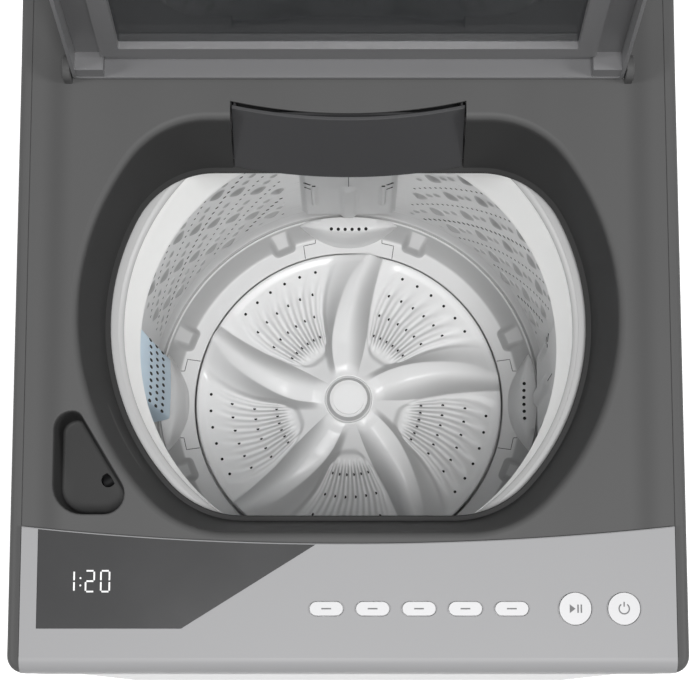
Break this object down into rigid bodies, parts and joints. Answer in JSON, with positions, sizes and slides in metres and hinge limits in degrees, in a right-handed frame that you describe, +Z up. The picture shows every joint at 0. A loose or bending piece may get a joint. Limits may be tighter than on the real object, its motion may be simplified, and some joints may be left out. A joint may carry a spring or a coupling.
{
  "type": "top load washing machine",
  "caption": "Free-standing top load washing machine with an open glass lid, front control fascia, drum with swirl pulsator, detergent drawer and bleach cup.",
  "frame": {"origin": "on the floor under the drum's axis, the bottom centre of the bounding box", "axes": "+Z up, +Y towards the rear, +X towards the user's right"},
  "size_m": [0.56, 0.6, 1.346],
  "materials": {
    "cabinet_paint": "satin grey powder coat",
    "cover_plastic": "satin dark grey",
    "lid_plastic": "semi gloss dark grey",
    "fascia_silver": "silver paint",
    "window_glass": "dark gloss",
    "lid_pane": "tinted",
    "button_plastic": "satin silver",
    "board": "circuit board",
    "dark_plastic": "moulded",
    "white_plastic": "moulded white",
    "tub_plastic": "moulded light grey",
    "ring_plastic": "moulded light grey",
    "drum_plastic": "moulded light grey",
    "drum_steel": "satin stainless",
    "filter_plastic": "light blue",
    "shaft_steel": "ground",
    "bracket_steel": "galvanised",
    "cast_alloy": "cast",
    "motor_black": "black enamel",
    "rubber": "matt"
  },
  "bodies": {
    "cabinet": {"cabinet_wrap": "cabinet_paint", "rear_panel": "cabinet_paint", "base_frame": "dark_plastic", "rear_feet": "rubber", "top_cover": "cover_plastic", "fascia_panel": "fascia_silver", "display_window": "window_glass", "display_board": "board", "control_box": "dark_plastic", "button_board": "board", "bleach_spout": "dark_plastic", "lid_lock": "dark_plastic", "dispenser_housing": "tub_plastic", "inlet_valve": "tub_plastic", "inlet_hose": "rubber", "cord_gland": "dark_plastic", "pressure_sensor": "dark_plastic", "drain_outlet": "dark_plastic", "panel_screws": "shaft_steel", "corner_brackets": "bracket_steel", "suspension_rods": "shaft_steel"},
    "front_foot_left": {"front_foot_left": "rubber"},
    "front_foot_right": {"front_foot_right": "rubber"},
    "lid": {"lid_frame": "lid_plastic", "lid_glass": "lid_pane", "lid_pins": "shaft_steel", "lid_bumpers": "rubber"},
    "drawer": {"detergent_drawer": "tub_plastic", "drawer_front": "lid_plastic", "softener_cap": "drum_plastic"},
    "tub_unit": {"outer_tub": "tub_plastic", "tub_cover_ring": "ring_plastic", "drive_plate": "bracket_steel", "gearbox_housing": "cast_alloy", "spin_bearings": "shaft_steel", "motor": "motor_black", "drive_belt": "rubber", "drain_valve": "dark_plastic", "drain_bellows": "rubber", "suspension_springs": "shaft_steel"},
    "motor_pulley": {"motor_pulley": "cast_alloy"},
    "drive_pulley": {"drive_pulley": "cast_alloy"},
    "drum": {"balance_ring": "white_plastic", "drum_wall": "drum_steel", "drum_base": "drum_plastic", "base_covers": "drum_plastic", "channel_covers": "drum_plastic", "drum_flange": "cast_alloy", "spin_shaft": "shaft_steel"},
    "lint_filter": {"lint_filter": "filter_plastic"},
    "pulsator": {"pulsator": "drum_plastic", "pulsator_cap": "drum_plastic", "drive_shaft": "shaft_steel"},
    "power_button": {"power_button": "button_plastic"},
    "start_button": {"start_button": "button_plastic"},
    "option_button_1": {"option_button_1": "button_plastic"},
    "option_button_2": {"option_button_2": "button_plastic"},
    "option_button_3": {"option_button_3": "button_plastic"},
    "option_button_4": {"option_button_4": "button_plastic"},
    "option_button_5": {"option_button_5": "button_plastic"}
  },
  "joints": [
    {"name": "lid_hinge", "type": "hinge", "parent": "cabinet", "child": "lid", "pos_m": [0, 0.208, 0.9545], "axis": [1, 0, 0], "range_deg": [0, 97]},
    {"name": "drawer_slide", "type": "slide", "parent": "cabinet", "child": "drawer", "axis": [0, -1, 0], "range_m": [0, 0.11]},
    {"name": "tub_bounce", "type": "slide", "parent": "cabinet", "child": "tub_unit", "axis": [0, 0, 1], "range_m": [-0.012, 0.004], "stiffness_N_per_m": 16000, "springref_m": 0.01919, "deforming": ["suspension_springs", "drain_bellows"]},
    {"name": "drum_spin", "type": "hinge", "parent": "tub_unit", "child": "drum", "pos_m": [0, 0, 0.5], "axis": [0, 0, 1], "continuous": true},
    {"name": "pulsator_spin", "type": "hinge", "parent": "tub_unit", "child": "pulsator", "pos_m": [0, 0, 0.385], "axis": [0, 0, 1], "continuous": true},
    {"name": "drive_pulley_spin", "type": "hinge", "parent": "tub_unit", "child": "drive_pulley", "pos_m": [0, 0, 0.172], "axis": [0, 0, 1], "continuous": true},
    {"name": "motor_pulley_spin", "type": "hinge", "parent": "tub_unit", "child": "motor_pulley", "pos_m": [-0.16, 0, 0.172], "axis": [0, 0, 1], "continuous": true},
    {"name": "lint_filter_slide", "type": "slide", "parent": "drum", "child": "lint_filter", "axis": [1, 0, 0], "range_m": [0, 0.03]},
    {"name": "front_foot_left_screw", "type": "slide", "parent": "cabinet", "child": "front_foot_left", "axis": [0, 0, -1], "range_m": [0, 0.012]},
    {"name": "front_foot_right_screw", "type": "slide", "parent": "cabinet", "child": "front_foot_right", "axis": [0, 0, -1], "range_m": [0, 0.012]},
    {"name": "power_button_press", "type": "slide", "parent": "cabinet", "child": "power_button", "axis": [0, 0, -1], "range_m": [0, 0.0015], "stiffness_N_per_m": 400, "springref_m": -0.0005},
    {"name": "start_button_press", "type": "slide", "parent": "cabinet", "child": "start_button", "axis": [0, 0, -1], "range_m": [0, 0.0015], "stiffness_N_per_m": 400, "springref_m": -0.0005},
    {"name": "option_button_1_press", "type": "slide", "parent": "cabinet", "child": "option_button_1", "axis": [0, 0, -1], "range_m": [0, 0.0015], "stiffness_N_per_m": 400, "springref_m": -0.0005},
    {"name": "option_button_2_press", "type": "slide", "parent": "cabinet", "child": "option_button_2", "axis": [0, 0, -1], "range_m": [0, 0.0015], "stiffness_N_per_m": 400, "springref_m": -0.0005},
    {"name": "option_button_3_press", "type": "slide", "parent": "cabinet", "child": "option_button_3", "axis": [0, 0, -1], "range_m": [0, 0.0015], "stiffness_N_per_m": 400, "springref_m": -0.0005},
    {"name": "option_button_4_press", "type": "slide", "parent": "cabinet", "child": "option_button_4", "axis": [0, 0, -1], "range_m": [0, 0.0015], "stiffness_N_per_m": 400, "springref_m": -0.0005},
    {"name": "option_button_5_press", "type": "slide", "parent": "cabinet", "child": "option_button_5", "axis": [0, 0, -1], "range_m": [0, 0.0015], "stiffness_N_per_m": 400, "springref_m": -0.0005}
  ],
  "couplings": [
    {"joint": "drive_pulley_spin", "follows": "pulsator_spin", "ratio": 4.9},
    {"joint": "motor_pulley_spin", "follows": "pulsator_spin", "ratio": 16.985}
  ]
}
